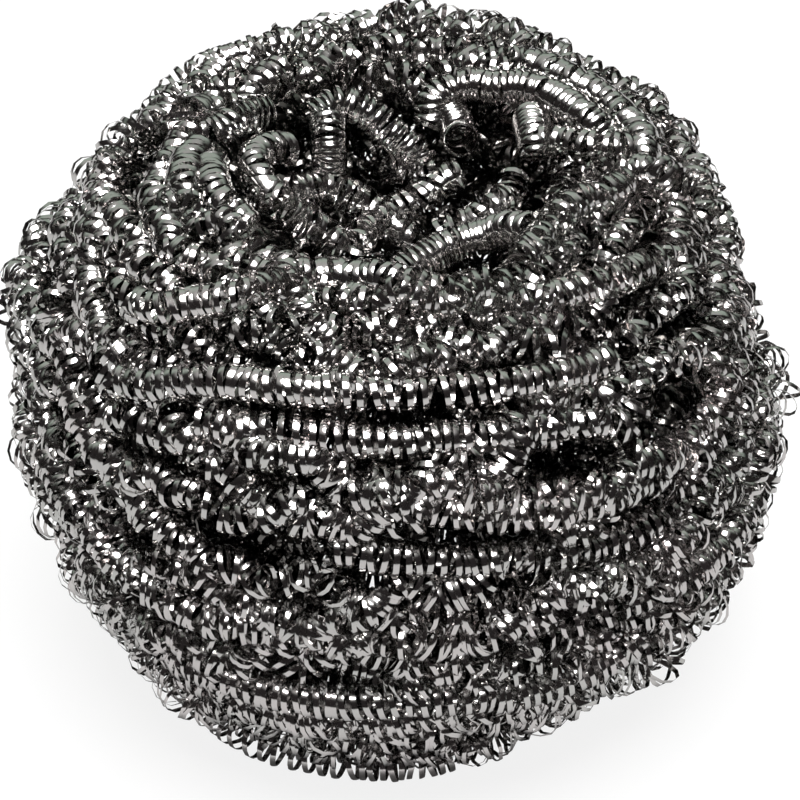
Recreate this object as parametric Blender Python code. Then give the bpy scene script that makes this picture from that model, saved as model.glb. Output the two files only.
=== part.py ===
# Stainless steel scourer: one flat ribbon, curled into a coil strand and wound up into a ball.
# The solid is the outer skin of that ball: a squat barrel with a hollow top, ridged by its
# windings, with the strands that stand out on its crown and the loops that cross over the
# windings. Metres, +Z up, standing on z = 0.
import math
import random

import bmesh
import bpy
from mathutils import Matrix, Vector

# Ball, measured over its outermost windings
ball_radius = 0.0388
lower_radius = 0.0370        # under the belt the ball is slightly smaller
ball_height = 0.0572
belt_top = 0.0290            # the side is upright between these two heights
belt_bottom = 0.0262
rim_radius = 0.0215          # crest of the top ring
hollow_depth = 0.0120
foot_radius = 0.0186         # ring of windings that the ball stands on
dimple_depth = 0.0030        # hollow of the underside
top_lean = 0.0010            # the top and the base sit a little to the left of the belt
base_lean = 0.0016
foot_press = 0.0007          # the lowest winding is pressed flat by this much

# Strand
strand_diameter = 0.0037
winding_step = 0.0042        # from one winding to the next, along the skin
groove_share = 0.36          # depth of the groove between windings, in strand diameters
wander = 0.0012              # how far a winding strays from an even ring
lump = 0.0005                # how far it stands in or out
slowest_wave = 0.25          # how fast it strays and lumps from one winding to the next, in radians
fastest_wave = 0.80
loop_seat = 0.18             # how deep a crossing loop lies under the grooves' floor, in diameters
loop_dip = 0.30              # how much deeper it lies towards its ends
strand_root = 1.9            # how far a crown strand's foot reaches down into the ball, in diameters

# Fineness of the mesh
ring_segments = 34
rows_per_winding = 4
section_points = 24          # points on each of the five stretches of the section
loop_step = 0.0032           # distance between the points of a loop
profile_steps = 4            # flats on the round top of a crown strand
seed = 7

# Crossing loops, from one end to the other: angle round the axis in degrees, and share of the way
# along the section, from the middle of the hollow (0) over the rim to the middle of the base (1)
loops = (
    (228, 0.150, 262, 0.270),
    (296, 0.225, 352, 0.290),
    (30, 0.260, 76, 0.190),
    (104, 0.215, 160, 0.300),
    (180, 0.270, 222, 0.350),
    (262, 0.375, 318, 0.420),
    (350, 0.400, 34, 0.340),
    (200, 0.470, 250, 0.520),
    (292, 0.560, 340, 0.500),
    (20, 0.500, 70, 0.550),
    (110, 0.560, 160, 0.500),
    (236, 0.660, 286, 0.620),
)

# Strands that stand out on the crown, through these places: angle round the axis in degrees, share
# of the section, and how far over the skin the middle of the strand runs, in diameters
crown_strands = {
    "back_arch": ((76, 0.150, 0.05), (70, 0.160, 0.35), (58, 0.175, 0.40), (46, 0.187, 0.40),
                  (34, 0.194, 0.40), (22, 0.199, 0.40), (10, 0.210, 0.05)),
    "outer_arch": ((51, 0.216, 0.15), (38, 0.217, 0.30), (27, 0.225, 0.30), (15, 0.230, 0.30),
                   (5, 0.233, 0.25), (357, 0.231, 0.10)),
    "slope": ((273, 0.102, 0.30), (290, 0.101, 0.60), (310, 0.106, 0.70), (322, 0.119, 0.60),
              (327, 0.140, 0.45), (324, 0.169, 0.30)),
    "right_barrel": ((37, 0.172, 0.20), (28, 0.163, 0.40), (16, 0.152, 0.40)),
    "stretched": ((22, 0.164, 0.25), (15, 0.182, 0.25), (8, 0.200, 0.20), (5, 0.224, 0.25), (5, 0.242, 0.15)),
    "left_barrel": ((159, 0.188, 0.10), (151, 0.179, 0.40), (142, 0.170, 0.40)),
    "left_diagonal": ((145, 0.138, 0.25), (154, 0.150, 0.30), (166, 0.152, 0.35), (180, 0.140, 0.45),
                      (192, 0.124, 0.60), (201, 0.092, 0.60), (220, 0.072, 0.55)),
    "left_fall": ((178, 0.184, 0.20), (190, 0.186, 0.40), (200, 0.186, 0.40), (208, 0.181, 0.35),
                  (216, 0.176, 0.25)),
    "left_open": ((170, 0.195, 0.10), (182, 0.201, 0.30), (192, 0.206, 0.30), (202, 0.207, 0.10)),
    "back_arc": ((127, 0.151, 0.20), (112, 0.154, 0.35), (101, 0.138, 0.50), (91, 0.122, 0.50),
                 (73, 0.099, 0.40)),
    "upright": ((118, 0.149, 0.05), (123, 0.136, 0.40), (130, 0.114, 0.55), (139, 0.100, 0.50)),
    "middle": ((214, 0.068, 0.45), (172, 0.045, 0.70), (130, 0.040, 0.75), (87, 0.050, 0.70),
               (60, 0.073, 0.65), (48, 0.100, 0.45)),
    "bowl_row": ((158, 0.113, 0.05), (144, 0.095, 0.35), (134, 0.079, 0.50), (117, 0.058, 0.45),
                 (98, 0.036, 0.60), (46, 0.026, 0.50)),
    "beside_slope": ((339, 0.065, 0.80), (350, 0.087, 0.70), (356, 0.106, 0.60), (15, 0.126, 0.25)),
    "right_rise": ((312, 0.186, 0.05), (321, 0.186, 0.25), (331, 0.185, 0.30), (340, 0.191, 0.30),
                   (347, 0.207, 0.25), (353, 0.219, 0.15)),
    "front_row": ((240, 0.181, -0.10), (258, 0.180, 0.15), (268, 0.194, 0.25), (277, 0.207, 0.30),
                  (285, 0.214, 0.20), (295, 0.211, 0.10)),
    "left_front": ((216, 0.287, 0.10), (224, 0.277, 0.25), (231, 0.258, 0.30), (236, 0.240, 0.25),
                   (240, 0.205, 0.00)),
}

# Where the ball swells or is pressed in: angle round the axis in degrees, share of the section, and
# how far the skin stands out there, in strand diameters
bulges = (
    (80, 0.28, 0.52),
    (12, 0.41, -1.15),
    (168, 0.42, 0.55),
    (148, 0.33, -0.35),
    (190, 0.57, -0.32),
    (350, 0.56, 0.35),
    (320, 0.73, -0.62),
    (205, 0.80, -0.30),
)
bulge_angle = 28             # how far each one reaches round the axis, in degrees
bulge_reach = 0.0072         # and along the section

steel_color = (0.56, 0.55, 0.545, 1.0)
steel_roughness = 0.25


def clear_scene():
    for thing in list(bpy.data.objects):
        bpy.data.objects.remove(thing, do_unlink=True)


def new_collection(name):
    collection = bpy.data.collections.new(name)
    bpy.context.scene.collection.children.link(collection)
    return collection


def make_steel():
    material = bpy.data.materials.new("stainless_ribbon")
    material.use_nodes = True
    shader = material.node_tree.nodes["Principled BSDF"]
    shader.inputs["Base Color"].default_value = steel_color
    shader.inputs["Metallic"].default_value = 1.0
    shader.inputs["Roughness"].default_value = steel_roughness
    return material


def ease(share):
    return 0.5 - 0.5 * math.cos(math.pi * share)


def section():
    # Half section as (radius, height): hollow, shoulder, belt, haunch and underside
    points = []
    for i in range(section_points + 1):
        share = i / section_points
        points.append((rim_radius * share, ball_height - hollow_depth * (1 - ease(share))))
    for i in range(1, section_points + 1):
        angle = 0.5 * math.pi * i / section_points
        points.append((rim_radius + (ball_radius - rim_radius) * math.sin(angle),
                       belt_top + (ball_height - belt_top) * math.cos(angle)))
    for i in range(1, section_points + 1):
        share = i / section_points
        points.append((ball_radius + (lower_radius - ball_radius) * ease(share),
                       belt_top + (belt_bottom - belt_top) * share))
    for i in range(1, section_points + 1):
        angle = 0.5 * math.pi * i / section_points
        points.append((foot_radius + (lower_radius - foot_radius) * math.cos(angle),
                       belt_bottom * (1 - math.sin(angle))))
    for i in range(1, section_points + 1):
        share = 1 - i / section_points
        points.append((foot_radius * share, dimple_depth * (1 - ease(share))))
    return points


def lengths_along(points):
    lengths = [0.0]
    for here, after in zip(points, points[1:]):
        lengths.append(lengths[-1] + math.dist(here, after))
    return lengths


def make_waves(count):
    # Smooth waves that close after one turn round the axis
    dice = random.Random(seed)
    return [(dice.choice((1, 2, 3, 4)), dice.uniform(slowest_wave, fastest_wave) / winding_step,
             dice.uniform(0, 2 * math.pi)) for _ in range(count)]


section_line = section()
section_lengths = lengths_along(section_line)
section_length = section_lengths[-1]
waves = make_waves(8)


def wave(angle, along, first):
    # Four of the waves added up, between about -1 and 1
    chosen = waves[first:first + 4]
    return sum(math.sin(turns * angle + rate * along + phase) for turns, rate, phase in chosen) / 2.4


def section_at(along):
    # Point and outward normal of the section, this far along it
    along = min(max(along, 0.0), section_length)
    i = 1
    while section_lengths[i] < along and i < len(section_lengths) - 1:
        i += 1
    start, end = Vector(section_line[i - 1]), Vector(section_line[i])
    share = (along - section_lengths[i - 1]) / (section_lengths[i] - section_lengths[i - 1])
    run = (end - start).normalized()
    return start.lerp(end, share), Vector((-run.y, run.x))


def pole_fade(along):
    # 0 at the middle of the hollow and of the base, where rings shrink to a point
    return min(1.0, along / (2 * winding_step), (section_length - along) / (2 * winding_step))


def looseness(along):
    # 0 at the poles and on the foot, whose windings lie level, and 1 where they stray freely
    foot_along = section_lengths[4 * section_points]
    return min(pole_fade(along), abs(along - foot_along) / (2 * winding_step))


def swell(angle, along):
    # How far the bulges lift the skin here
    lift = 0.0
    for middle, share, height in bulges:
        turn = (math.degrees(angle) - middle + 180) % 360 - 180
        away = along - share * section_length
        lift += height * math.exp(-(turn / bulge_angle) ** 2 - (away / bulge_reach) ** 2)
    return lift * strand_diameter


def skin_point(angle, along, sink):
    # The skin here, strayed and lumped as the windings are, and this much further in
    loose = looseness(along)
    place, normal = section_at(along + wander * loose * wave(angle, along, 0))
    place = place + normal * (loose * lump * wave(angle, along, 4) + swell(angle, along) - sink)
    level = (place.y - ball_height / 2) / (ball_height / 2)
    lean = (top_lean if level > 0 else base_lean) * level * level
    return Vector((place.x * math.cos(angle) - lean, place.x * math.sin(angle), place.y))


def make_wound_body(name):
    # A sphere's rows become the windings: each has a groove row, a crest row and rows between
    windings = round(section_length / winding_step)
    rows = windings * rows_per_winding
    groove = groove_share * strand_diameter
    mesh = bpy.data.meshes.new(name)
    shape = bmesh.new()
    bmesh.ops.create_uvsphere(shape, u_segments=ring_segments, v_segments=rows, radius=1.0)
    for corner in shape.verts:
        row = round(math.acos(max(-1.0, min(1.0, corner.co.z))) / math.pi * rows)
        angle = math.atan2(corner.co.y, corner.co.x)
        along = section_length * row / rows
        crest = abs(math.sin(math.pi * row / rows_per_winding))
        corner.co = skin_point(angle, along, groove * (1 - crest) * pole_fade(along))
    lowest = min(corner.co.z for corner in shape.verts)
    for corner in shape.verts:
        corner.co.z = max(0.0, corner.co.z - lowest - foot_press)
    bmesh.ops.recalc_face_normals(shape, faces=shape.faces)
    shape.to_mesh(mesh)
    shape.free()
    return bpy.data.objects.new(name, mesh), -lowest - foot_press


def loop_path(loop, lift):
    # The loop comes out of the skin, crosses the windings and goes back in. Its underside stays
    # under the grooves' floor, so that no groove runs closed beneath it
    start_angle, start_share, end_angle, end_share = loop
    lift_share = 0.5 - groove_share - loop_seat
    turn = (end_angle - start_angle + 180) % 360 - 180
    middle_radius = section_at(section_length * (start_share + end_share) / 2)[0].x
    reach = math.hypot(math.radians(turn) * middle_radius, section_length * (end_share - start_share))
    count = max(5, math.ceil(reach / loop_step))
    path = []
    for i in range(count + 1):
        share = i / count
        angle = math.radians(start_angle + turn * share)
        along = section_length * (start_share + (end_share - start_share) * share)
        sink = loop_dip * (1 - math.sin(math.pi * share)) - lift_share
        if i in (0, count):
            sink += 1
        point = skin_point(angle, along, sink * strand_diameter)
        path.append(point + Vector((0, 0, lift)))
    return path


def make_line(name, path, dimensions):
    curve = bpy.data.curves.new(name, "CURVE")
    curve.dimensions = dimensions
    spline = curve.splines.new("POLY")
    spline.points.add(len(path) - 1)
    for point, place in zip(spline.points, path):
        point.co = (*place, 1.0)
    return bpy.data.objects.new(name, curve)


def make_loop(name, path):
    loop = make_line(name, path, "3D")
    loop.data.bevel_depth = strand_diameter / 2
    loop.data.bevel_resolution = 2
    loop.data.use_fill_caps = True
    return loop


def make_profile():
    # A crown strand's section: round on top, with a foot that reaches down under the grooves
    radius = strand_diameter / 2
    steps = (math.pi * i / profile_steps for i in range(profile_steps + 1))
    corners = [(radius * math.cos(step), radius * math.sin(step), 0.0) for step in steps]
    foot = -strand_root * strand_diameter
    profile = make_line("strand_profile", corners + [(-radius, foot, 0.0), (radius, foot, 0.0)], "2D")
    profile.data.splines[0].use_cyclic_u = True
    return profile


def make_crown_strand(name, places, lift, profile):
    path = [skin_point(math.radians(angle), section_length * share, -rise * strand_diameter)
            + Vector((0, 0, lift)) for angle, share, rise in places]
    strand = make_line(name, path, "3D")
    strand.data.twist_mode = "Z_UP"
    strand.data.bevel_mode = "OBJECT"
    strand.data.bevel_object = profile
    strand.data.use_fill_caps = True
    return strand


def as_mesh(curve_object, collection):
    # A curve can't be joined to a mesh, so its tube is copied out and its caps are welded
    collection.objects.link(curve_object)
    bpy.context.view_layer.update()
    evaluated = curve_object.evaluated_get(bpy.context.evaluated_depsgraph_get())
    mesh = bpy.data.meshes.new_from_object(evaluated)
    shape = bmesh.new()
    shape.from_mesh(mesh)
    bmesh.ops.remove_doubles(shape, verts=shape.verts, dist=0.00001)
    bmesh.ops.recalc_face_normals(shape, faces=shape.faces)
    shape.to_mesh(mesh)
    shape.free()
    tube = bpy.data.objects.new(curve_object.name + "_tube", mesh)
    tube.matrix_world = curve_object.matrix_world
    bpy.data.objects.remove(curve_object, do_unlink=True)
    collection.objects.link(tube)
    tube.hide_render = True
    tube.display_type = "WIRE"


def islands(shape):
    # The corners of each shell that hangs together
    left = set(shape.verts)
    while left:
        island = {left.pop()}
        reached = list(island)
        while reached:
            here = reached.pop()
            near = {edge.other_vert(here) for edge in here.link_edges} & left
            left -= near
            island |= near
            reached += near
        yield island


def join(body, tubes):
    # One union with all the strands. Where strands close a pocket between them, it is filled
    modifier = body.modifiers.new("strands", "BOOLEAN")
    modifier.operation = "UNION"
    modifier.solver = "EXACT"
    modifier.operand_type = "COLLECTION"
    modifier.collection = tubes
    bpy.context.view_layer.update()
    evaluated = body.evaluated_get(bpy.context.evaluated_depsgraph_get())
    mesh = bpy.data.meshes.new_from_object(evaluated)
    shape = bmesh.new()
    shape.from_mesh(mesh)
    outer = max(islands(shape), key=len)
    bmesh.ops.delete(shape, geom=[corner for corner in shape.verts if corner not in outer], context="VERTS")
    shape.to_mesh(mesh)
    shape.free()
    body.modifiers.clear()
    body.data = mesh


def centre_on_origin(body):
    # The middle of the box round the joined ball goes to x = y = 0
    places = [corner.co for corner in body.data.vertices]
    middle = [(min(place[i] for place in places) + max(place[i] for place in places)) / 2 for i in (0, 1)]
    body.data.transform(Matrix.Translation((-middle[0], -middle[1], 0)))


def main():
    clear_scene()
    parts = new_collection("steel_scourer")
    joiners = new_collection("strand_tubes")
    steel = make_steel()
    ball, lift = make_wound_body("wound_coil")
    parts.objects.link(ball)
    profile = make_profile()
    joiners.objects.link(profile)
    for name, places in crown_strands.items():
        as_mesh(make_crown_strand(name, places, lift, profile), joiners)
    bpy.data.objects.remove(profile, do_unlink=True)
    for i, loop in enumerate(loops):
        as_mesh(make_loop(f"loop_{i:02d}", loop_path(loop, lift)), joiners)
    join(ball, joiners)
    centre_on_origin(ball)
    ball.data.materials.append(steel)
    ball.data.shade_smooth()
    ball.data.set_sharp_from_angle(angle=math.radians(50))


main()
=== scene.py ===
import math
import random

import bpy
import numpy as np
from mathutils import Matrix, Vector


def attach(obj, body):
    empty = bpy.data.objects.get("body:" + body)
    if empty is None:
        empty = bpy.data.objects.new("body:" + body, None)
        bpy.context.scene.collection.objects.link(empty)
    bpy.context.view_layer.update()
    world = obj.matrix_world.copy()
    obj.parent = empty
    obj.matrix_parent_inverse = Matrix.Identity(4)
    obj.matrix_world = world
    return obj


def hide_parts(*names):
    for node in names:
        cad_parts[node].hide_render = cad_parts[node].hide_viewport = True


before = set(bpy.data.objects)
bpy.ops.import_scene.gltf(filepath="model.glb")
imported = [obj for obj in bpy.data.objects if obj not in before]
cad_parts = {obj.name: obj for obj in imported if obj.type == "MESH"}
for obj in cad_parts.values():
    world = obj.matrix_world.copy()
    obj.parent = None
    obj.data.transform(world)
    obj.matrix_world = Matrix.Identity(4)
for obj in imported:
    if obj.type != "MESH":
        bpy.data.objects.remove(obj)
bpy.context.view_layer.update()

# Looks of the stainless steel scourer: one flat ribbon, curled into a coil strand and wound
# up into a ball. Lengths are in millimetres unless a name says otherwise.
mm = 0.001
scene = bpy.context.scene

# The shape that the strand is wound on, with the solid's own sizes
ball = {
    "radius": 38.8, "lowerRadius": 37.0, "height": 57.2, "beltTop": 29.0, "beltBottom": 26.2,
    "rimRadius": 21.5, "hollowDepth": 12.0, "footRadius": 18.6, "dimpleDepth": 3.0,
    "topLean": 1.0, "baseLean": 1.6, "footPress": 0.7, "windingStep": 4.2, "wander": 1.2,
    "lump": 0.5, "slowestWave": 0.25, "fastestWave": 0.80, "wavesMixed": 4, "waveScale": 2.4,
    "seed": 7, "centre": (0.46, 0.30), "sectionPoints": 60,
}


class Wire:
    # A node's output, so that maths on it reads as maths
    def __init__(self, tree, socket):
        self.tree, self.socket = tree, socket

    def maths(self, operation, *values):
        return addNode(self.tree, "ShaderNodeMath", {"operation": operation}, dict(enumerate(values)))[0]

    def __add__(self, other): return self.maths("ADD", self, other)
    def __radd__(self, other): return self.maths("ADD", other, self)
    def __sub__(self, other): return self.maths("SUBTRACT", self, other)
    def __rsub__(self, other): return self.maths("SUBTRACT", other, self)
    def __mul__(self, other): return self.maths("MULTIPLY", self, other)
    def __rmul__(self, other): return self.maths("MULTIPLY", other, self)
    def __truediv__(self, other): return self.maths("DIVIDE", self, other)


class Outputs:
    # A node's outputs by name or number, skipping those that its settings switch off
    def __init__(self, tree, node):
        self.tree, self.node = tree, node

    def __getitem__(self, key):
        if isinstance(key, int):
            return Wire(self.tree, [s for s in self.node.outputs if s.enabled][key])
        return Wire(self.tree, next(s for s in self.node.outputs if s.name == key and s.enabled))


def addNode(tree, kind, settings=None, sockets=None):
    node = tree.nodes.new(kind)
    for name, value in (settings or {}).items():
        setattr(node, name, value)
    live = [s for s in node.inputs if s.enabled]
    for key, value in (sockets or {}).items():
        socket = live[key] if isinstance(key, int) else next(s for s in live if s.name == key)
        if isinstance(value, Wire):
            tree.links.new(value.socket, socket)
        else:
            socket.default_value = value
    return Outputs(tree, node)


def vectorMaths(tree, operation, *values):
    return addNode(tree, "ShaderNodeVectorMath", {"operation": operation}, dict(enumerate(values)))[0]


def scaled(tree, vector, amount):
    return addNode(tree, "ShaderNodeVectorMath", {"operation": "SCALE"}, {"Vector": vector, "Scale": amount})[0]


# Section of the ball, from the middle of the hollow over the rim to the middle of the base
def ease(share):
    return 0.5 - 0.5 * np.cos(np.pi * share)


def sectionLine():
    share = np.linspace(0, 1, ball["sectionPoints"] + 1)
    angle = share * np.pi / 2
    rim, foot, height = ball["rimRadius"], ball["footRadius"], ball["height"]
    upper, lower = ball["radius"], ball["lowerRadius"]
    hollow = np.c_[rim * share, height - ball["hollowDepth"] * (1 - ease(share))]
    shoulder = np.c_[rim + (upper - rim) * np.sin(angle),
                     ball["beltTop"] + (height - ball["beltTop"]) * np.cos(angle)]
    belt = np.c_[upper + (lower - upper) * ease(share),
                 ball["beltTop"] + (ball["beltBottom"] - ball["beltTop"]) * share]
    haunch = np.c_[foot + (lower - foot) * np.cos(angle), ball["beltBottom"] * (1 - np.sin(angle))]
    underside = np.c_[foot * (1 - share), ball["dimpleDepth"] * (1 - ease(1 - share))]
    return np.vstack([hollow, shoulder[1:], belt[1:], haunch[1:], underside[1:]])


section = sectionLine()
sectionRuns = np.r_[0, np.cumsum(np.hypot(*np.diff(section, axis=0).T))]
sectionLength = sectionRuns[-1]
sectionSlopes = np.gradient(section, sectionRuns, axis=0)
sectionNormals = np.c_[-sectionSlopes[:, 1], sectionSlopes[:, 0]] / np.hypot(*sectionSlopes.T)[:, None]
footRun = sectionRuns[4 * ball["sectionPoints"]]      # where the haunch meets the underside
dice = random.Random(ball["seed"])
waves = [(dice.choice((1, 2, 3, 4)),
          dice.uniform(ball["slowestWave"], ball["fastestWave"]) / ball["windingStep"],
          dice.uniform(0, 2 * math.pi)) for _ in range(2 * ball["wavesMixed"])]


def wave(angle, along, first):
    mixed = waves[first:first + ball["wavesMixed"]]
    return sum(np.sin(turns * angle + rate * along + phase) for turns, rate, phase in mixed) / ball["waveScale"]


# Where the ball swells or is pressed in, as on the solid: degrees round the axis, share of
# the section, height
bulges = (
    (80, 0.28, 1.92), (12, 0.41, -4.26), (168, 0.42, 2.04), (148, 0.33, -1.30), (190, 0.57, -1.18),
    (350, 0.56, 1.30), (320, 0.73, -2.29), (205, 0.80, -1.11),
)
bulgeAngle, bulgeReach = 28, 7.2      # degrees, mm


def swell(angle, along):
    lift = 0.0
    for bulgeAt, share, height in bulges:
        turn = (np.degrees(angle) - bulgeAt + 180) % 360 - 180
        past = along - share * sectionLength
        lift = lift + height * np.exp(-(turn / bulgeAngle) ** 2 - (past / bulgeReach) ** 2)
    return lift


def skin(angle, along, inset):
    # Points this far inside the ball's skin, which strays and swells as the solid's does
    calmed = 2 * ball["windingStep"]
    ends = np.minimum(along, sectionLength - along) / calmed
    loose = np.clip(np.minimum(ends, np.abs(along - footRun) / calmed), 0, 1)
    strayed = along + ball["wander"] * loose * wave(angle, along, 0)
    outward = loose * ball["lump"] * wave(angle, along, ball["wavesMixed"]) + swell(angle, along) - inset
    normal = [np.interp(strayed, sectionRuns, sectionNormals[:, i]) for i in (0, 1)]
    radius, height = (np.interp(strayed, sectionRuns, section[:, i]) + normal[i] * outward for i in (0, 1))
    level = height / (ball["height"] / 2) - 1
    lean = np.where(level > 0, ball["topLean"], ball["baseLean"]) * level ** 2
    return np.c_[radius * np.cos(angle) - lean + ball["centre"][0],
                 radius * np.sin(angle) + ball["centre"][1], height - ball["footPress"]]


def ripple(t, wavelength, seed, count=6):
    # Smooth noise along a length, about 1 strong
    draw = np.random.default_rng(seed)
    rates = 2 * np.pi / wavelength * draw.uniform(0.6, 1.7, count)
    return np.sin(np.outer(t, rates) + draw.uniform(0, 2 * np.pi, count)).sum(1) / math.sqrt(count / 2)


# Windings of the strand. Each point of a path is one turn of the ribbon. A pair of numbers
# is how far something drifts, and over which length
coil = {
    "radius": 1.72, "pitch": 1.00, "tightest": 0.50, "loosest": 2.0, "floorGap": 0.1, "bunching": 0.22,
    "shift": 0.07, "sizeSpread": 0.035, "longDraw": (0.30, 38), "shortDraw": (0.16, 9), "sizeDrift": (0.06, 14),
    "drawnThin": 0.04, "angleStep": 0.01, "startSpread": 6.28,
}

# Dark pockets between the strands on the crown, and last the groove under the waist row:
# middle, and reach along each axis
pockets = (
    ((-2.2, 15.5, 54.0), (5.6, 3.4, 4.6)),
    ((10.2, 8.2, 53.6), (2.8, 3.0, 3.4)),
    ((19.2, -0.6, 55.2), (4.6, 2.0, 3.0)),
    ((8.2, 6.2, 51.2), (3.0, 3.0, 3.2)),
    ((-16.4, -11.4, 54.6), (3.2, 2.6, 3.2)),
    ((-1.6, -13.0, 53.4), (3.4, 3.0, 3.0)),
    ((-9.6, 9.4, 52.4), (2.2, 2.6, 3.0)),
    ((-7.5, -31.0, 48.2), (11.5, 2.4, 1.8)),
)
pocketHeart = 0.05      # share of a pocket's reach, inside which a point is pushed less far


def besidePockets(points):
    # Pushes a strand out of the pockets
    for centre, reach in pockets:
        away = (points - np.array(centre)) / np.array(reach)
        far = np.linalg.norm(away, axis=1)[:, None]
        rim = np.array(centre) + np.array(reach) * away / np.maximum(far, pocketHeart)
        points = np.where(far < 1, rim, points)
    return points


def turnsAlong(points, seed, loose, uneven=1.0):
    # Points one turn apart: turns crowd where the strand is pushed together and part where it is drawn out
    t = np.r_[0, np.cumsum(np.linalg.norm(np.diff(points, axis=0), axis=1))]
    (longDraw, longRun), (shortDraw, shortRun), (sizeDrift, sizeRun) = (
        coil[name] for name in ("longDraw", "shortDraw", "sizeDrift"))
    drawn = uneven * (longDraw * ripple(t, longRun, seed) + shortDraw * ripple(t, shortRun, seed + 1))
    pitch = np.clip(coil["pitch"] * loose * np.exp(drawn), coil["tightest"], coil["loosest"])
    turns = np.r_[0, np.cumsum(np.diff(t) / (0.5 * (pitch[1:] + pitch[:-1])))]
    count = int(turns[-1]) + 1
    draw = np.random.default_rng(seed + 3)
    bunched = np.arange(count) + uneven * coil["bunching"] * draw.uniform(-1, 1, count)
    at = np.interp(bunched, turns, t)
    size = 1 + uneven * (sizeDrift * ripple(at, sizeRun, seed + 2) - coil["drawnThin"] * np.interp(at, t, drawn)
                         + coil["sizeSpread"] * draw.normal(size=count))
    path = np.c_[[np.interp(at, t, points[:, i]) for i in range(3)]].T
    path += uneven * coil["shift"] * draw.normal(size=path.shape)
    path[:, 2] = np.maximum(path[:, 2], coil["radius"] * size + coil["floorGap"])
    return path, size


# How a winding strays along the section and outwards: how far, over which length, and its
# own seed. Then how it climbs over its neighbour, and how it kinks: the least and most
strays = {
    "along": ((0.70, 26, 0), (0.42, 11, 1), (0.26, 5, 6)),
    "out": ((0.28, 17, 2), (0.22, 7, 3), (0.16, 4, 7)),
}
climb = {"length": (7, 13), "steps": (0.7, 1.3), "height": (0.4, 1.1)}
kink = {"length": (2.2, 4.0), "steps": (-0.5, 0.5), "heights": (-2.2, 1.1), "strength": (0.7, 1.2)}


def winding(first, last, depth, step, seed, stray=1.0, crossings=0, kinks=0, loose=1.0):
    # One spiral stretch round the axis, between two shares of the section, this deep in the ball
    along0, along1 = first * sectionLength, last * sectionLength
    angle = np.arange(0, 2 * np.pi * (along1 - along0) / step, coil["angleStep"])
    along = along0 + step * angle / (2 * np.pi)
    rough = skin(angle, along, depth)
    t = np.r_[0, np.cumsum(np.linalg.norm(np.diff(rough, axis=0), axis=1))]

    def strayed(way):
        return stray * sum(far * ripple(t, length, seed + own) for far, length, own in strays[way])

    along, out = along + strayed("along"), strayed("out")
    draw = np.random.default_rng(seed + 4)
    for _ in range(crossings):
        # Here the strand climbs over its neighbour and comes back
        bump = np.exp(-((t - draw.uniform(0, t[-1])) / draw.uniform(*climb["length"])) ** 2)
        along = along + draw.choice((-1, 1)) * draw.uniform(*climb["steps"]) * step * bump
        out = out + draw.uniform(*climb["height"]) * bump
    for _ in range(kinks):
        # Here it bends sharply in or out, and shows its turns from their open side
        bump = np.exp(-((t - draw.uniform(0, t[-1])) / draw.uniform(*kink["length"])) ** 2)
        along = along + draw.uniform(*kink["steps"]) * step * bump
        out = out + draw.choice(kink["heights"]) * draw.uniform(*kink["strength"]) * bump
    points = skin(angle + draw.uniform(0, coil["startSpread"]), np.clip(along, 1, sectionLength - 1), depth - out)
    return turnsAlong(besidePockets(points), seed + 5, loose)


# A crossing stretch, in strand diameters: how deep it lies, how far its middle rises and its
# ends dive. Each end is one of so many parts of its length
bridge = {"sink": 0.34, "rise": 0.30, "dive": 0.7, "parts": 8, "points": 120}


def crossing(loop, seed):
    # A stretch that crosses over the windings, on the same line as one of the solid's loops
    startAngle, startShare, endAngle, endShare = loop
    turn = (endAngle - startAngle + 180) % 360 - 180
    share = np.linspace(0, 1, bridge["points"])
    parts = bridge["parts"]
    ends = np.clip(1 - parts * share, 0, 1) + np.clip(parts * share - (parts - 1), 0, 1)
    sink = bridge["sink"] - bridge["rise"] * np.sin(np.pi * share) + bridge["dive"] * ends
    along = sectionLength * (startShare + (endShare - startShare) * share)
    points = skin(np.radians(startAngle + turn * share), along, 2 * coil["radius"] * sink)
    return turnsAlong(points, seed, 1.0)


def through(points, seed, loose, uneven=0.35, steps=24):
    # A smooth stretch of strand through chosen places
    spots = np.array(points, float)
    spots = np.vstack([2 * spots[0] - spots[1], spots, 2 * spots[-1] - spots[-2]])
    share = np.linspace(0, 1, steps, endpoint=False)[:, None]
    spans = [0.5 * (2 * b + (c - a) * share + (2 * a - 5 * b + 4 * c - d) * share ** 2
                    + (3 * b - a - 3 * c + d) * share ** 3)
             for a, b, c, d in zip(spots, spots[1:], spots[2:], spots[3:])]
    return turnsAlong(np.vstack([*spans, spots[-2:-1]]), seed, loose, uneven)


def strandMesh(name, strands):
    mesh = bpy.data.meshes.new(name + "Path")
    points = np.vstack([points for points, _ in strands]) * mm
    edges, start = [], 0
    for path, _ in strands:
        edges += [(start + i, start + i + 1) for i in range(len(path) - 1)]
        start += len(path)
    mesh.from_pydata([tuple(p) for p in points], edges, [])
    size = mesh.attributes.new("coilSize", "FLOAT", "POINT")
    size.data.foreach_set("value", np.concatenate([size for _, size in strands]).astype(np.float32))
    return bpy.data.objects.new(name, mesh)


ribbon = {
    "Coil Radius": coil["radius"] * mm, "Ribbon Width": 0.47 * mm, "Ribbon Thickness": 0.03 * mm,
    "Points per Turn": 12, "Radius Jitter": 0.08, "Lean": 0.62, "Lean Jitter": 0.15,
    "Face Tilt": 0.42, "Face Slant": 0.10, "Map Columns": 256, "Map Rows": 140, "Seed": 3.0,
}
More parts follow.
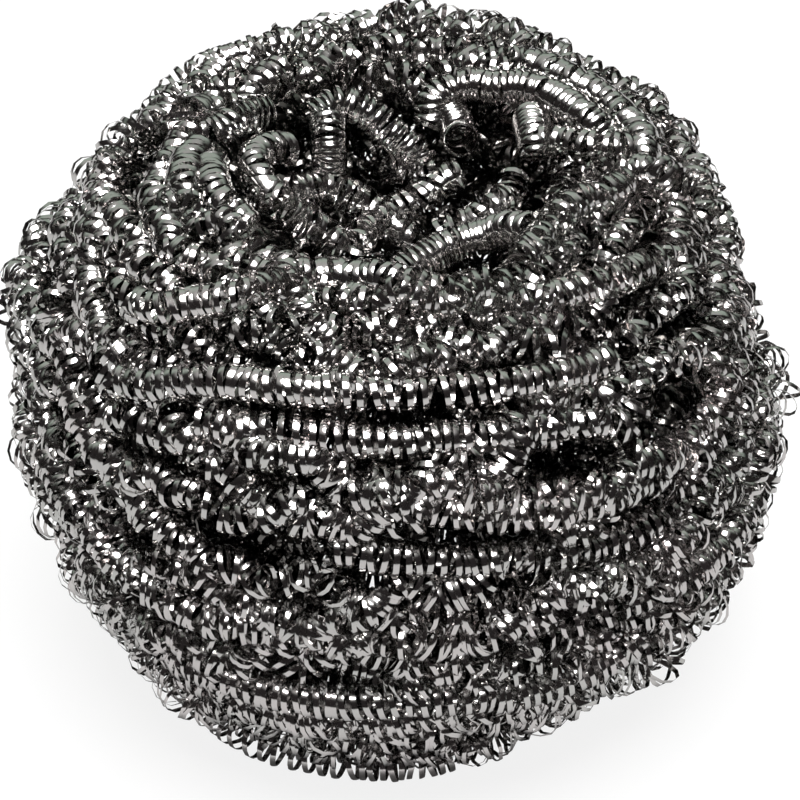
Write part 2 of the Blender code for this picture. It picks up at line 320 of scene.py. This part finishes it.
# What differs on tight tubes, on loose tubes and the crown, on even rows, at the foot, and on
# the strands behind
compact = {"Points per Turn": 18, "Ribbon Width": 0.50 * mm, "Ribbon Thickness": 0.07 * mm,
           "Radius Jitter": 0.05, "Lean": 0.25, "Lean Jitter": 0.09, "Face Tilt": 0.32, "Face Slant": 0.36}
snug = {"Points per Turn": 14, "Ribbon Width": 0.53 * mm,
        "Radius Jitter": 0.08, "Lean": 0.50, "Lean Jitter": 0.14, "Face Tilt": 0.42, "Face Slant": 0.25}
even = {"Points per Turn": 14, "Ribbon Width": 0.58 * mm,
        "Radius Jitter": 0.06, "Lean": 0.28, "Lean Jitter": 0.12, "Face Tilt": 0.28, "Face Slant": 0.12}
crownSnug = {**snug, "Points per Turn": 12}
narrow = {"Points per Turn": 10, "Ribbon Width": 0.40 * mm}
middle = {"Points per Turn": 8}
inner = {"Points per Turn": 7}
# Noise that changes the turns: how fast it runs from turn to turn, and where it starts
drifts = {
    "size": (0.9, 5.1), "slowSize": (0.23, 9.7), "slowRise": (0.17, 17.0), "rise": (0.83, 29.0),
    "slowSway": (0.21, 43.0), "sway": (0.77, 61.0), "facing": (0.8, 77.0),
}
driftGain, seedStride, strandStride = 2.6, 71.3, 0.37
stripFill, stripEdge = 0.9, 0.05      # how much of its strip each face fills in the baked map
floorZone = 0.4 * mm        # what reaches lower than this is pressed flat on the floor


def ribbonTree():
    # Geometry Nodes: curls a flat ribbon round each path, one turn for each point of it
    tree = bpy.data.node_groups.new("ribbonCoil", "GeometryNodeTree")
    face = tree.interface
    face.new_socket("Geometry", in_out="INPUT", socket_type="NodeSocketGeometry")
    for name, value in ribbon.items():
        kind = "NodeSocketInt" if isinstance(value, int) else "NodeSocketFloat"
        face.new_socket(name, in_out="INPUT", socket_type=kind).default_value = value
    face.new_socket("Material", in_out="INPUT", socket_type="NodeSocketMaterial")
    face.new_socket("Geometry", in_out="OUTPUT", socket_type="NodeSocketGeometry")
    given = addNode(tree, "NodeGroupInput")

    # The path becomes a smooth curve with a fixed number of points to a turn
    curve = addNode(tree, "GeometryNodeMeshToCurve", {}, {"Mesh": given["Geometry"]})["Curve"]
    curve = addNode(tree, "GeometryNodeCurveSplineType", {"spline_type": "CATMULL_ROM"}, {"Curve": curve})["Curve"]
    curve = addNode(tree, "GeometryNodeSetSplineResolution", {},
                    {"Geometry": curve, "Resolution": given["Points per Turn"]})["Geometry"]
    curve = addNode(tree, "GeometryNodeResampleCurve", {"mode": "EVALUATED"}, {"Curve": curve})["Curve"]

    place = addNode(tree, "GeometryNodeSplineParameter")["Index"]
    ring = addNode(tree, "GeometryNodeInputIndex")["Index"]
    turn = place / given["Points per Turn"]
    angle = turn * (2 * math.pi)
    tangent = addNode(tree, "GeometryNodeInputTangent")["Tangent"]
    normal = addNode(tree, "GeometryNodeInputNormal")["Normal"]
    binormal = vectorMaths(tree, "CROSS_PRODUCT", tangent, normal)
    radial = vectorMaths(tree, "ADD", scaled(tree, normal, angle.maths("COSINE", angle)),
                         scaled(tree, binormal, angle.maths("SINE", angle)))
    size = addNode(tree, "GeometryNodeInputNamedAttribute", {"data_type": "FLOAT"}, {"Name": "coilSize"})["Attribute"]

    # Noise that drifts from turn to turn, with its own stretch for each strand
    whole = turn + given["Seed"] * seedStride + (ring - place) * strandStride

    def drift(name):
        rate, start = drifts[name]
        noise = addNode(tree, "ShaderNodeTexNoise", {"noise_dimensions": "1D"},
                        {"W": whole * rate + start, "Scale": 1.0, "Detail": 1.0})
        return (noise[0] - 0.5) * driftGain

    reach = given["Coil Radius"] * size * (1 + given["Radius Jitter"] * (drift("size") + drift("slowSize")))
    rise = given["Lean"] * drift("slowRise") + given["Lean Jitter"] * drift("rise")
    sway = given["Lean"] * drift("slowSway") + given["Lean Jitter"] * drift("sway")
    lean = rise * angle.maths("COSINE", angle) + sway * angle.maths("SINE", angle)
    offset = vectorMaths(tree, "ADD", scaled(tree, radial, reach), scaled(tree, tangent, reach * lean))
    facing = vectorMaths(tree, "ADD", radial,
                         scaled(tree, tangent, given["Face Slant"] + given["Face Tilt"] * drift("facing")))

    kept = tree.nodes.new("GeometryNodeCaptureAttribute")
    kept.domain = "POINT"
    kept.capture_items.new("VECTOR", "Facing")
    kept.capture_items.new("FLOAT", "Ring")
    kept.capture_items.new("FLOAT", "Length")
    tree.links.new(curve.socket, kept.inputs["Geometry"])
    tree.links.new(facing.socket, kept.inputs["Facing"])
    tree.links.new(ring.socket, kept.inputs["Ring"])
    tree.links.new(turn.socket, kept.inputs["Length"])
    held = Outputs(tree, kept)
    curve = addNode(tree, "GeometryNodeSetPosition", {}, {"Geometry": held["Geometry"], "Offset": offset})["Geometry"]
    curve = addNode(tree, "GeometryNodeSetCurveNormal", {"mode": "FREE"},
                    {"Curve": curve, "Normal": held["Facing"]})["Curve"]

    # The ribbon's section: slightly crowned outside, flat inside
    circle = addNode(tree, "GeometryNodeCurvePrimitiveCircle", {"mode": "RADIUS"},
                     {"Resolution": 3, "Radius": 1.0})["Curve"]
    corner = addNode(tree, "GeometryNodeInputIndex")["Index"]
    side = tree.nodes.new("GeometryNodeCaptureAttribute")
    side.domain = "POINT"
    side.capture_items.new("FLOAT", "Corner")
    tree.links.new(circle.socket, side.inputs["Geometry"])
    tree.links.new(corner.socket, side.inputs["Corner"])
    sided = Outputs(tree, side)
    spot = addNode(tree, "GeometryNodeInputPosition")["Position"]
    stretch = addNode(tree, "ShaderNodeCombineXYZ", {}, {
        "X": given["Ribbon Thickness"] / 1.5, "Y": given["Ribbon Width"] / math.sqrt(3), "Z": 1.0})["Vector"]
    outline = addNode(tree, "GeometryNodeSetPosition", {}, {
        "Geometry": sided["Geometry"], "Position": vectorMaths(tree, "MULTIPLY", spot, stretch)})["Geometry"]
    mesh = addNode(tree, "GeometryNodeCurveToMesh", {},
                   {"Curve": curve, "Profile Curve": outline, "Fill Caps": True})["Mesh"]

    # Maps: one lays every length of ribbon out side by side, the other runs along and across the ribbon
    def onFaces(value):
        return addNode(tree, "GeometryNodeFieldOnDomain", {"domain": "FACE", "data_type": "FLOAT"}, {"Value": value})[0]

    ringOf, cornerOf, lengthOf = held["Ring"], sided["Corner"], held["Length"]
    faceRing = onFaces(ringOf).maths("FLOOR", onFaces(ringOf) + 0.01)
    faceCorner = onFaces(cornerOf)
    wraps = faceCorner.maths("COMPARE", faceCorner, 1.0, 0.1)
    strip = faceCorner.maths("FLOOR", faceCorner) * (1 - wraps) + 2 * wraps
    across = faceCorner.maths("MODULO", cornerOf - strip + 3, 3.0)
    row = faceRing.maths("FLOOR", faceRing / given["Map Columns"])
    column = faceRing - row * given["Map Columns"]
    u = (column + (ringOf - faceRing)) / given["Map Columns"]
    v = (row * 3 + strip + across * stripFill + stripEdge) / (given["Map Rows"] * 3)
    for name, first, second in (("OFBake", u, v), ("ribbonMap", lengthOf, strip + across)):
        pair = addNode(tree, "ShaderNodeCombineXYZ", {}, {"X": first, "Y": second})["Vector"]
        mesh = addNode(tree, "GeometryNodeStoreNamedAttribute", {"data_type": "FLOAT2", "domain": "CORNER"},
                       {"Geometry": mesh, "Name": name, "Value": pair})["Geometry"]
    mesh = addNode(tree, "GeometryNodeSetShadeSmooth", {}, {"Geometry": mesh, "Shade Smooth": True})["Geometry"]
    mesh = addNode(tree, "GeometryNodeRealizeInstances", {}, {"Geometry": mesh})["Geometry"]
    mesh = addNode(tree, "GeometryNodeSetMaterial", {}, {"Geometry": mesh, "Material": given["Material"]})["Geometry"]
    addNode(tree, "NodeGroupOutput", {}, {"Geometry": mesh})
    return tree


# Grain of the steel: noise across a metre, where its tint starts and ends, and its roughness
finish = {"broadScale": 130.0, "fineScale": 900.0, "dullEnd": 0.32, "brightEnd": 0.68,
          "smoothest": 0.05, "broadRough": 0.07, "fineRough": 0.08}


def steelMaterial(name, dull, bright):
    material = bpy.data.materials.new(name)
    material.use_nodes = True
    tree = material.node_tree
    shader = Outputs(tree, tree.nodes["Principled BSDF"])
    where = addNode(tree, "ShaderNodeTexCoord")["Object"]
    broad = addNode(tree, "ShaderNodeTexNoise", {}, {"Vector": where, "Scale": finish["broadScale"], "Detail": 2.0})[0]
    fine = addNode(tree, "ShaderNodeTexNoise", {}, {"Vector": where, "Scale": finish["fineScale"], "Detail": 3.0})[0]
    tint = addNode(tree, "ShaderNodeValToRGB", {}, {"Fac": broad})
    stops = tint.node.color_ramp.elements
    stops[0].position, stops[0].color = finish["dullEnd"], (*dull, 1)
    stops[1].position, stops[1].color = finish["brightEnd"], (*bright, 1)
    tree.links.new(tint["Color"].socket, shader.node.inputs["Base Color"])
    rough = finish["smoothest"] + finish["broadRough"] * broad + finish["fineRough"] * fine
    tree.links.new(rough.socket, shader.node.inputs["Roughness"])
    shader.node.inputs["Metallic"].default_value = 1.0
    return material


sharpAngle = 60


def makeRibbon(name, strands, tree, material, **changes):
    source = strandMesh(name + "Strands", strands)
    scene.collection.objects.link(source)
    modifier = source.modifiers.new("ribbonCoil", "NODES")
    modifier.node_group = tree
    rings = sum(len(path) - 1 for path, _ in strands) * changes.get("Points per Turn", ribbon["Points per Turn"])
    changes["Map Rows"] = math.ceil((rings + len(strands)) / ribbon["Map Columns"])
    sockets = {s.name: s.identifier for s in tree.interface.items_tree if s.in_out == "INPUT"}
    for key, value in {**ribbon, **changes, "Material": material}.items():
        modifier[sockets[key]] = value
    evaluated = source.evaluated_get(bpy.context.evaluated_depsgraph_get())
    mesh = bpy.data.meshes.new_from_object(evaluated)
    bpy.data.objects.remove(source)
    places = np.empty(3 * len(mesh.vertices), np.float32)
    mesh.vertices.foreach_get("co", places)
    low = places[2::3] < floorZone
    places[2::3][low] = floorZone * np.exp(places[2::3][low] / floorZone - 1)
    mesh.vertices.foreach_set("co", places)
    mesh.set_sharp_from_angle(angle=math.radians(sharpAngle))
    piece = bpy.data.objects.new(name, mesh)
    scene.collection.objects.link(piece)
    triangles = sum(len(p.vertices) - 2 for p in mesh.polygons)
    print(name, "turns", sum(len(path) for path, _ in strands), "triangles", triangles)
    return piece


# Camera: the photo looks down on the ball from a little way off
view = {"elevation": 38.0, "distance": 430.0, "pixelsPerMm": 9.88, "aim": (0.2, 0.0, 28.2),
        "sensor": 36.0, "frame": 800, "nearest": 0.01}


def makeCamera():
    data = bpy.data.cameras.new("camera")
    camera = bpy.data.objects.new("camera", data)
    scene.collection.objects.link(camera)
    rise = math.radians(view["elevation"])
    aim = Vector(view["aim"]) * mm
    camera.location = aim + Vector((0, -math.cos(rise), math.sin(rise))) * view["distance"] * mm
    camera.rotation_euler = (aim - camera.location).to_track_quat("-Z", "Y").to_euler()
    data.sensor_width = view["sensor"]
    data.lens = view["sensor"] * view["pixelsPerMm"] * view["distance"] / view["frame"]
    data.clip_start = view["nearest"]
    scene.camera = camera


# Studio, in metres: a pale floor, one wide softbox overhead with a glow round it, and a dim
# room with a paler back wall. The wall and the glow fade in between these parts of a direction
studio = {
    "floorSize": 6.0, "floorAlbedo": 0.47, "floorShade": 0.15, "floorGlow": 0.86, "floorSheen": 0.05,
    "boxSize": 0.72, "boxHeight": 0.95, "boxTowardCamera": 0.18, "boxRight": 0.05, "boxWatts": 15.0,
    "boxAim": 0.03,
    "roomFront": (0.028, 0.025, 0.025), "roomBack": (0.50, 0.58, 0.51), "roomTop": (0.55, 0.55, 0.535),
    "wallSides": (0.10, 0.60), "wallRise": (0.20, 0.62), "glowRise": (0.66, 0.94),
}


def makeStudio():
    bpy.ops.mesh.primitive_plane_add(size=studio["floorSize"])
    floor = bpy.context.object
    floor.name = "floor"
    material = bpy.data.materials.new("paleFloor")
    material.use_nodes = True
    tree = material.node_tree
    shader = tree.nodes["Principled BSDF"]
    shader.inputs["Roughness"].default_value = 1.0
    shader.inputs["Specular IOR Level"].default_value = 0.0
    shader.inputs["Emission Color"].default_value = (1, 1, 1, 1)
    path = addNode(tree, "ShaderNodeLightPath")
    seen, mirrored = path["Is Camera Ray"], path["Is Glossy Ray"]
    paint = addNode(tree, "ShaderNodeMix", {"data_type": "RGBA"}, {
        "Factor": seen, "A": (*[studio["floorAlbedo"]] * 3, 1), "B": (*[studio["floorShade"]] * 3, 1)})["Result"]
    tree.links.new(paint.socket, shader.inputs["Base Color"])
    glow = seen * studio["floorGlow"] + mirrored * studio["floorSheen"]
    tree.links.new(glow.socket, shader.inputs["Emission Strength"])
    floor.data.materials.append(material)

    lamp = bpy.data.lights.new("softbox", "AREA")
    lamp.shape = "DISK"
    lamp.size = studio["boxSize"]
    lamp.energy = studio["boxWatts"]
    box = bpy.data.objects.new("softbox", lamp)
    box.location = (studio["boxRight"], -studio["boxTowardCamera"], studio["boxHeight"])
    box.rotation_euler = (Vector((0, 0, studio["boxAim"])) - box.location).to_track_quat("-Z", "Y").to_euler()
    scene.collection.objects.link(box)

    world = bpy.data.worlds.new("room")
    world.use_nodes = True
    scene.world = world
    tree = world.node_tree
    sky = tree.nodes["Background"]
    where = addNode(tree, "ShaderNodeTexCoord")["Generated"]
    parts = addNode(tree, "ShaderNodeSeparateXYZ", {}, {0: where})

    def rampOn(axis, limits):
        return addNode(tree, "ShaderNodeMapRange", {"interpolation_type": "SMOOTHSTEP"},
                       {"Value": parts[axis], "From Min": limits[0], "From Max": limits[1]})[0]

    wall = rampOn("Y", studio["wallSides"]) * rampOn("Z", studio["wallRise"])
    room = addNode(tree, "ShaderNodeMix", {"data_type": "RGBA"},
                   {"Factor": wall, "A": (*studio["roomFront"], 1), "B": (*studio["roomBack"], 1)})["Result"]
    room = addNode(tree, "ShaderNodeMix", {"data_type": "RGBA"}, {
        "Factor": rampOn("Z", studio["glowRise"]), "A": room, "B": (*studio["roomTop"], 1)})["Result"]
    path = addNode(tree, "ShaderNodeLightPath")
    shown = addNode(tree, "ShaderNodeMix", {"data_type": "RGBA"},
                    {"Factor": path["Is Camera Ray"], "A": room, "B": (1, 1, 1, 1)})["Result"]
    tree.links.new(shown.socket, sky.inputs["Color"])


makeCamera()
makeStudio()
print("camera and studio ready")

# Stretches of strand that stand out on the crown: how loose they are, and the places they run through
tightTubes = {
    "ring": (0.50, (
        (3.6, 15.4, 54.4), (5.4, 13.4, 53.8), (6.2, 11.0, 52.8), (6.3, 8.9, 54.2))),
    "arch": (0.60, (
        (3.2, 12.8, 53.2), (3.6, 14.2, 55.4), (6.8, 15.0, 56.4), (9.7, 14.0, 56.8), (12.4, 13.4, 57.3),
        (14.9, 11.6, 57.5), (17.1, 9.0, 57.7), (19.3, 5.9, 57.7), (20.9, 3.6, 56.6))),
    "barrel": (0.50, (
        (13.1, 10.4, 55.8), (13.3, 7.4, 55.9), (13.5, 4.2, 55.2))),
    "slope": (0.54, (
        (0.2, -9.4, 51.0), (1.8, -8.4, 51.6), (5.2, -6.6, 52.4), (8.0, -6.2, 53.1), (10.3, -6.6, 54.2),
        (12.9, -9.2, 56.0))),
    "leftBarrel": (0.50, (
        (-17.6, 7.0, 56.2), (-16.2, 8.0, 56.9), (-14.4, 9.3, 56.8), (-13.0, 10.2, 56.4))),
    "upright": (0.62, (
        (-7.1, 13.2, 53.9), (-7.0, 11.0, 54.2), (-6.8, 8.4, 52.9), (-6.9, 6.4, 51.6))),
    "backArc": (0.68, (
        (-8.6, 12.0, 54.6), (-5.7, 13.6, 55.2), (-2.8, 12.6, 54.5), (-0.9, 11.4, 53.3), (0.6, 10.6, 52.5),
        (2.4, 9.0, 51.2))),
}
looseTubes = {
    "leftDiagonal": (0.74, (
        (-10.9, 7.9, 53.6), (-12.8, 6.6, 54.6), (-14.1, 3.8, 55.0), (-13.2, 0.6, 54.5),
        (-11.5, -1.6, 53.9), (-9.5, -2.3, 52.3), (-7.1, -2.6, 50.8), (-5.2, -3.8, 49.6))),
    "leftFall": (0.78, (
        (-18.2, 0.2, 56.9), (-18.0, -2.9, 57.3), (-17.2, -5.8, 57.4), (-15.6, -8.0, 57.0),
        (-14.0, -9.6, 56.4))),
    "outerArch": (0.80, (
        (13.6, 17.6, 57.0), (17.4, 14.0, 57.5), (20.3, 11.2, 57.4), (22.8, 6.6, 57.3), (23.9, 3.0, 57.2),
        (23.6, -1.0, 56.6))),
    "bigTube": (0.85, (
        (-5.4, -3.2, 48.8), (-2.6, 2.2, 48.2), (0.0, 4.4, 48.6), (2.7, 5.6, 49.8), (4.9, 6.6, 50.9),
        (6.8, 7.4, 51.4))),
    "bigRing": (0.80, (
        (5.0, 8.2, 50.4), (2.4, 9.4, 50.0), (-0.4, 9.8, 50.2), (-2.0, 8.8, 51.0), (-2.3, 7.2, 52.3))),
    "stretched": (0.95, (
        (14.2, 6.2, 55.6), (16.6, 5.0, 56.4), (19.2, 3.0, 57.0), (22.4, 2.4, 57.4), (24.6, 2.6, 56.6))),
    "bowlRow": (0.70, (
        (-10.6, 4.4, 51.2), (-7.5, 5.5, 50.6), (-5.6, 5.4, 49.9), (-2.8, 5.2, 48.4), (-0.9, 3.6, 47.6),
        (1.4, 2.0, 46.8))),
    "besideSlope": (0.80, (
        (4.6, -1.6, 50.0), (7.1, -1.0, 51.0), (8.7, -0.6, 52.2), (10.4, 0.6, 52.6), (11.3, 3.4, 52.8))),
    "leftOpen": (0.85, (
        (-19.4, 3.4, 56.8), (-20.3, -0.4, 57.4), (-20.6, -4.0, 57.6), (-19.8, -7.4, 57.0))),
    "rightRise": (0.70, (
        (12.2, -13.4, 56.2), (13.5, -11.8, 56.8), (15.1, -8.8, 56.9), (17.1, -6.4, 57.2),
        (19.7, -5.1, 57.4), (22.0, -2.5, 57.1))),
    "rightRing": (0.75, (
        (22.6, -0.6, 56.6), (24.6, -1.0, 57.3), (26.6, -2.2, 56.4))),
    "leftRing": (0.80, (
        (-20.8, 6.2, 57.9), (-20.4, 8.6, 57.0), (-19.0, 10.8, 56.6))),
    "crownFront": (0.75, (
        (-9.4, -15.4, 55.4), (-4.0, -17.0, 56.2), (-0.8, -18.9, 57.2), (2.1, -20.4, 57.5),
        (5.0, -20.8, 57.3), (8.8, -19.2, 57.0))),
    "leftFront": (0.70, (
        (-24.4, -17.2, 53.4), (-22.3, -19.5, 54.4), (-18.5, -20.6, 55.8), (-15.2, -20.9, 56.7),
        (-12.7, -19.9, 57.0), (-10.4, -17.0, 56.2))),
}
# Rows that run evenly round the front
frontRows = {
    "waist": (1.18, (
        (-26.5, -21.0, 47.1), (-23.3, -23.5, 48.3), (-19.9, -25.0, 49.9), (-15.2, -26.8, 51.3),
        (-10.5, -28.4, 51.8), (-5.8, -29.4, 52.2), (-1.2, -29.9, 52.3), (3.0, -29.7, 52.3),
        (7.6, -29.0, 52.2), (11.8, -27.7, 52.0), (16.5, -25.7, 51.6), (19.9, -23.5, 51.4))),
    "underRow": (1.25, (
        (-18.9, -27.1, 47.0), (-14.7, -29.1, 47.7), (-10.0, -30.6, 48.4), (-5.4, -31.7, 48.5),
        (-0.7, -32.2, 48.4), (3.9, -31.8, 48.6), (8.5, -31.1, 48.3), (12.3, -29.9, 48.3),
        (15.6, -28.8, 47.2))),
    "middleRow": (1.20, (
        (-6.3, -35.4, 38.4), (-0.7, -36.3, 38.0), (4.9, -35.8, 37.2), (10.5, -34.8, 36.7),
        (16.2, -32.7, 35.7), (22.0, -29.3, 35.0), (27.0, -24.9, 34.6))),
    "lowRow": (1.15, (
        (-17.0, -31.6, 19.1), (-12.3, -33.7, 18.8), (-7.5, -35.1, 19.1), (-2.7, -35.9, 19.5),
        (3.1, -35.9, 19.8), (8.9, -34.9, 19.4), (14.2, -33.0, 19.0), (19.6, -30.1, 19.3),
        (23.6, -27.4, 20.5))),
    "baseRow": (1.05, (
        (-21.0, -15.5, 2.6), (-17.5, -19.5, 2.0), (-13.5, -22.8, 1.9), (-9.0, -24.6, 1.9),
        (-4.0, -25.4, 1.9), (2.0, -25.4, 1.9), (6.0, -24.2, 2.2))),
}
# Stretches right through the middle, so that nothing is seen through the hollow from above
heart = (
    ((-9.0, 2.0, 42.5), (-3.0, 0.6, 41.2), (3.0, -0.6, 41.2), (9.0, -2.0, 42.5)),
    ((-2.0, -9.0, 38.5), (-0.6, -3.0, 37.6), (0.6, 3.0, 37.6), (2.0, 9.0, 38.5)),
    ((-9.0, -3.0, 35.0), (-3.0, -1.4, 34.0), (3.0, 1.4, 34.0), (9.0, 3.0, 35.0)),
    ((-5.0, 8.0, 31.0), (-1.8, 2.6, 30.4), (1.8, -2.6, 30.4), (5.0, -8.0, 31.0)),
)
# The crossing loops of the solid: angle round the axis and share of the section, at both ends
loops = (
    (228, 0.150, 262, 0.270), (296, 0.225, 352, 0.290), (30, 0.260, 76, 0.190), (104, 0.215, 160, 0.300),
    (180, 0.270, 222, 0.350), (262, 0.375, 318, 0.420), (350, 0.400, 34, 0.340), (200, 0.470, 250, 0.520),
    (292, 0.560, 340, 0.500), (20, 0.500, 70, 0.550), (110, 0.560, 160, 0.500), (236, 0.660, 286, 0.620),
)

tree = ribbonTree()
steel = steelMaterial("stainlessRibbon", (0.53, 0.525, 0.51), (0.62, 0.585, 0.58))
# Copy of the steel with its colour painted much darker: painted shade for the windings inside the ball, so that the
# gaps between the outer turns look black
paintedShadeSteel = steelMaterial("stainlessRibbonPaintedShade", (0.11, 0.105, 0.10), (0.18, 0.17, 0.163))
# Copy of the steel painted nearly black: painted deep shade for the innermost windings and the stretches through the
# middle
paintedDeepShadeSteel = steelMaterial("stainlessRibbonPaintedDeepShade", (0.022, 0.020, 0.019), (0.045, 0.041, 0.038))
shell = coil["radius"]

# Windings of each piece: shares of the section where they start and end, depth in the ball and
# step from one winding to the next in mm, how far they stray, how often they climb over their
# neighbour or kink, and how far apart their turns are
crownCoil = {"first": 0.16, "last": 0.43, "depth": shell - 0.6, "step": 3.8, "seed": 11,
             "stray": 1.0, "crossings": 12, "kinks": 16, "loose": 1.06}
beltCoil = {"first": 0.43, "last": 0.66, "depth": shell - 0.3, "step": 3.6, "seed": 23,
            "stray": 1.25, "crossings": 18, "kinks": 44, "loose": 1.12}
footCoil = {"first": 0.635, "last": 0.985, "depth": shell + 0.2, "step": 3.6, "seed": 37,
            "stray": 1.0, "crossings": 12, "kinks": 18, "loose": 1.12}
hollowCoil = {"first": 0.02, "last": 0.16, "depth": shell + 1.6, "step": 3.4, "seed": 71,
              "stray": 1.2, "crossings": 3, "kinks": 4, "loose": 1.0}
middleCoil = {"first": 0.16, "last": 0.5, "depth": shell + 2.4, "step": 3.9, "seed": 51,
              "stray": 1.4, "loose": 1.15}
lowerMiddleCoil = {"first": 0.5, "last": 0.985, "depth": shell + 2.4, "step": 3.9, "seed": 59,
                   "stray": 1.4, "loose": 1.15}
innerCoil = {"first": 0.015, "last": 0.98, "depth": shell + 5.4, "step": 4.8, "seed": 67,
             "stray": 1.6, "loose": 1.6}

# First seed of each kind of short stretch, and how uneven its turns are
crossedSeed, tightSeed, slackSeed, rowSeed, heartSeed = 200, 300, 400, 500, 700
slackUneven, rowUneven, heartLoose = 0.8, 0.6, 0.8
tight = [through(points, tightSeed + i, loose) for i, (loose, points) in enumerate(tightTubes.values())]
slack = [through(points, slackSeed + i, loose, slackUneven)
         for i, (loose, points) in enumerate(looseTubes.values())]
rows = [through(points, rowSeed + i, loose, rowUneven)
        for i, (loose, points) in enumerate(frontRows.values())]
crossed = [crossing(loop, crossedSeed + i) for i, loop in enumerate(loops)]
hearts = [through(points, heartSeed + i, heartLoose) for i, points in enumerate(heart)]
pieces = [
    makeRibbon("crownWindings", [winding(**crownCoil)], tree, steel, **crownSnug),
    makeRibbon("beltWindings", [winding(**beltCoil)], tree, steel),
    makeRibbon("footWindings", [winding(**footCoil)], tree, steel, **narrow),
    # The windings under the hollow wear the painted shade steel
    makeRibbon("hollowWindings", [winding(**hollowCoil)], tree, paintedShadeSteel, **snug),
    makeRibbon("tightTubes", tight, tree, steel, **compact),
    makeRibbon("looseTubes", slack, tree, steel, **snug),
    makeRibbon("frontRows", rows, tree, steel, **even),
    makeRibbon("crossingStrands", crossed, tree, steel),
    # The middle windings wear the painted shade steel
    makeRibbon("middleWindings", [winding(**middleCoil)], tree, paintedShadeSteel, **middle),
    makeRibbon("lowerMiddleWindings", [winding(**lowerMiddleCoil)], tree, paintedShadeSteel, **middle),
    # The innermost windings and the heart stretches wear the painted deep shade steel
    makeRibbon("innerWindings", [winding(**innerCoil), *hearts], tree, paintedDeepShadeSteel, **inner),
]
for piece in pieces:
    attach(piece, "root")
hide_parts("wound_coil")
print("ribbon wound")

scene.view_settings.view_transform = "Standard"
bpy.context.view_layer.update()
